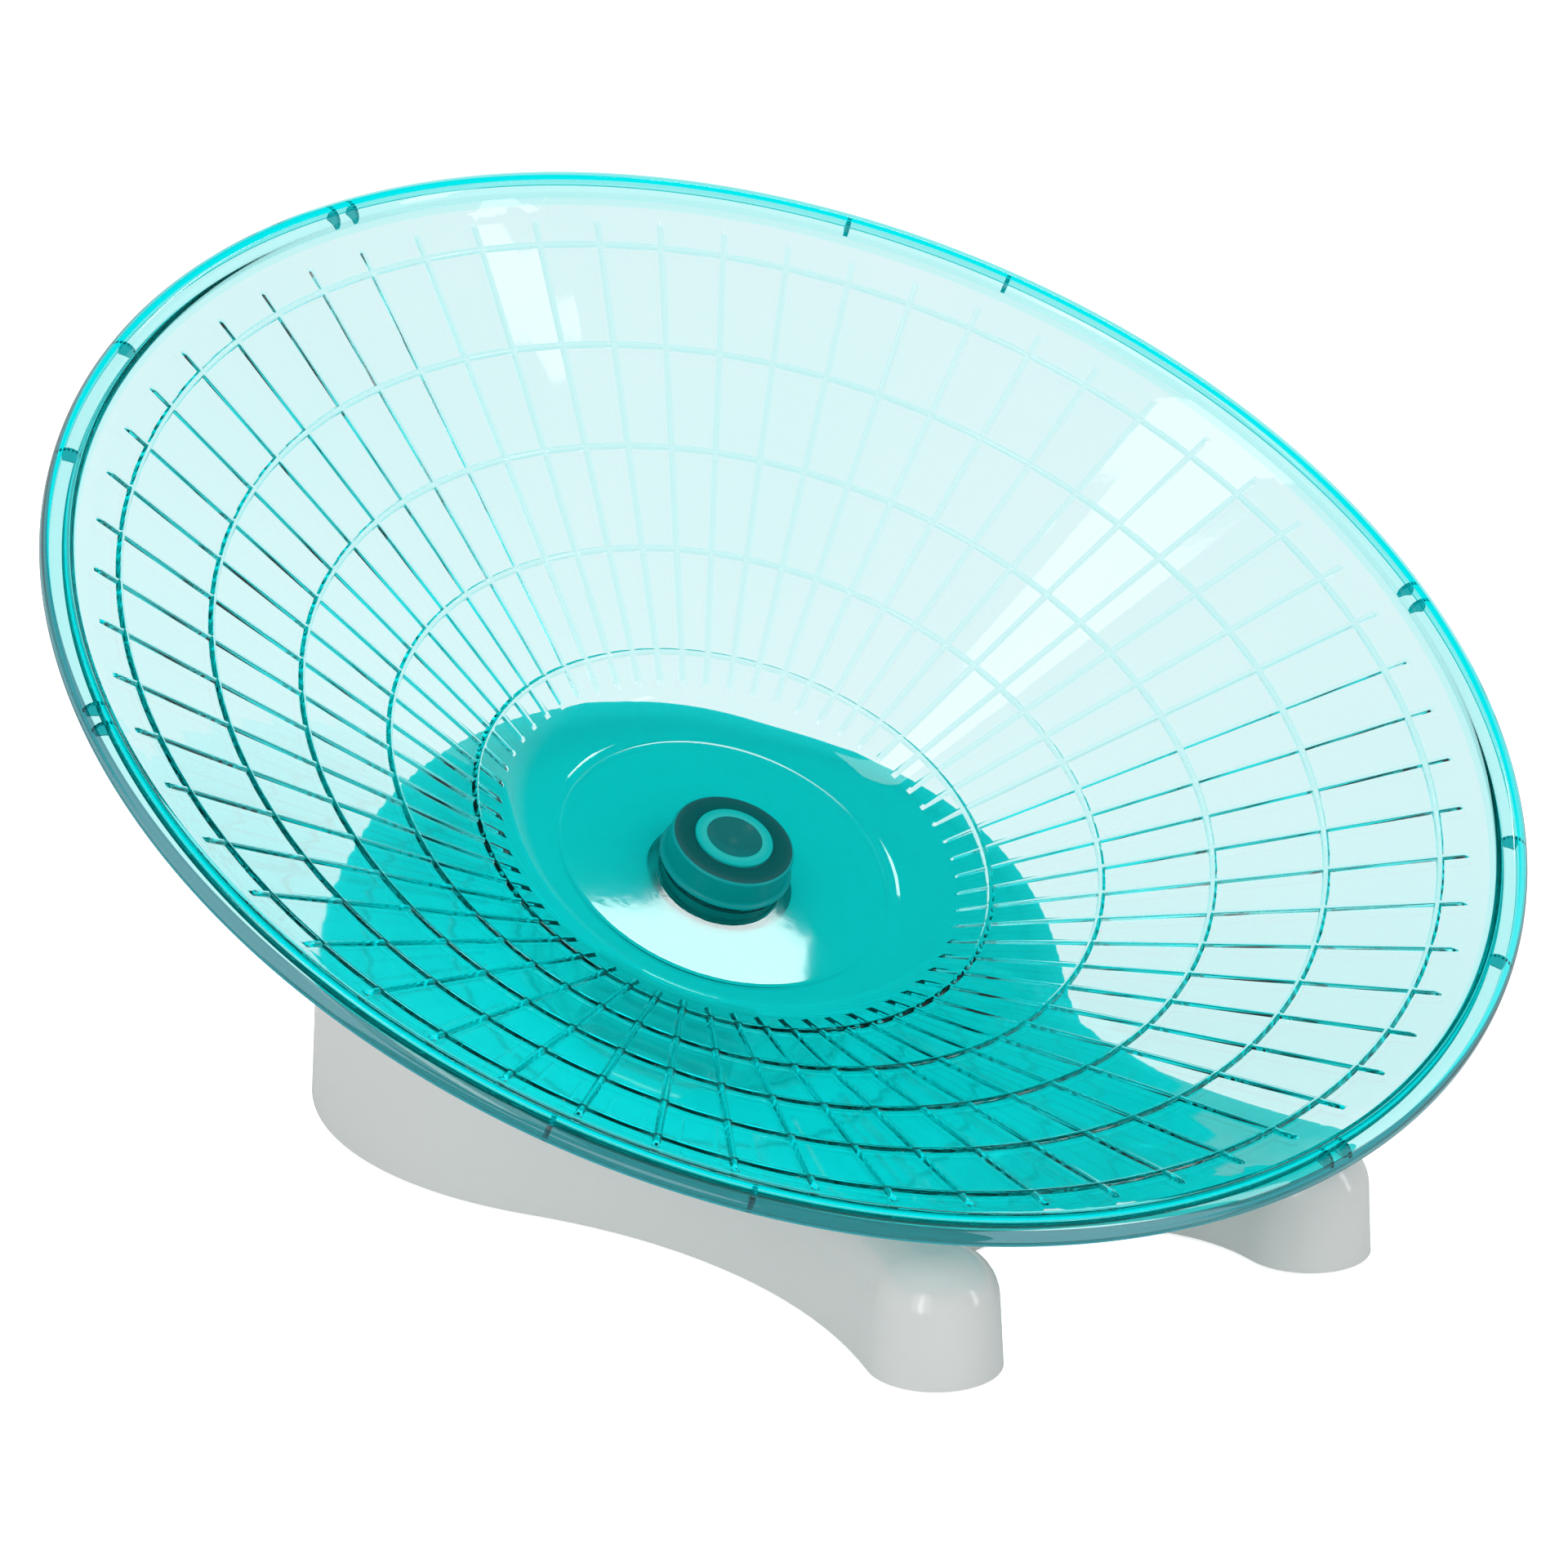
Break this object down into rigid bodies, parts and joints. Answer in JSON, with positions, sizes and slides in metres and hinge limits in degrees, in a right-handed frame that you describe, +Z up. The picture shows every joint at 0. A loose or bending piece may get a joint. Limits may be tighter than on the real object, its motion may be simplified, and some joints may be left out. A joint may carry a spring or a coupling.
{
  "type": "small animal running disc",
  "caption": "Clear ribbed dish with a rolled lip that spins freely on a tilted ball bearing over a two-toed base, for a small pet to run on.",
  "frame": {"origin": "on the ground, under the middle of the whole object", "axes": "+X across the object, -Y towards the front where the disc is lowest, +Z up"},
  "size_m": [0.3, 0.2643, 0.1747],
  "materials": {
    "clear_plastic": "clear teal, polished",
    "base_plastic": "off-white, glossy",
    "bearing_steel": "ground",
    "ball_steel": "polished",
    "cage_plastic": "matte",
    "shield_steel": "pressed sheet",
    "axle_steel": "turned",
    "spacer_plastic": "matte",
    "foot_rubber": "matte"
  },
  "bodies": {
    "base": {"base_shell": "base_plastic", "axle_pin": "axle_steel", "axle_spacer": "spacer_plastic", "bearing_inner_ring": "bearing_steel", "axle_screw": "axle_steel", "screw_washer": "axle_steel", "rubber_foot_front_left": "foot_rubber", "rubber_foot_front_right": "foot_rubber", "rubber_foot_rear_left": "foot_rubber", "rubber_foot_rear_right": "foot_rubber"},
    "disc": {"running_disc": "clear_plastic", "bearing_outer_ring": "bearing_steel", "bearing_retainer": "spacer_plastic", "bearing_upper_shield": "shield_steel", "bearing_lower_shield": "shield_steel"},
    "ball_cage": {"bearing_balls": "ball_steel", "bearing_cage": "cage_plastic"}
  },
  "joints": [
    {"name": "disc_spin", "type": "hinge", "parent": "base", "child": "disc", "pos_m": [0, 0.027, 0.0515], "axis": [0, -0.4787, 0.878], "continuous": true},
    {"name": "cage_spin", "type": "hinge", "parent": "base", "child": "ball_cage", "pos_m": [0, 0.027, 0.0515], "axis": [0, -0.4787, 0.878], "continuous": true}
  ],
  "couplings": [
    {"joint": "cage_spin", "follows": "disc_spin", "ratio": 0.6303}
  ]
}
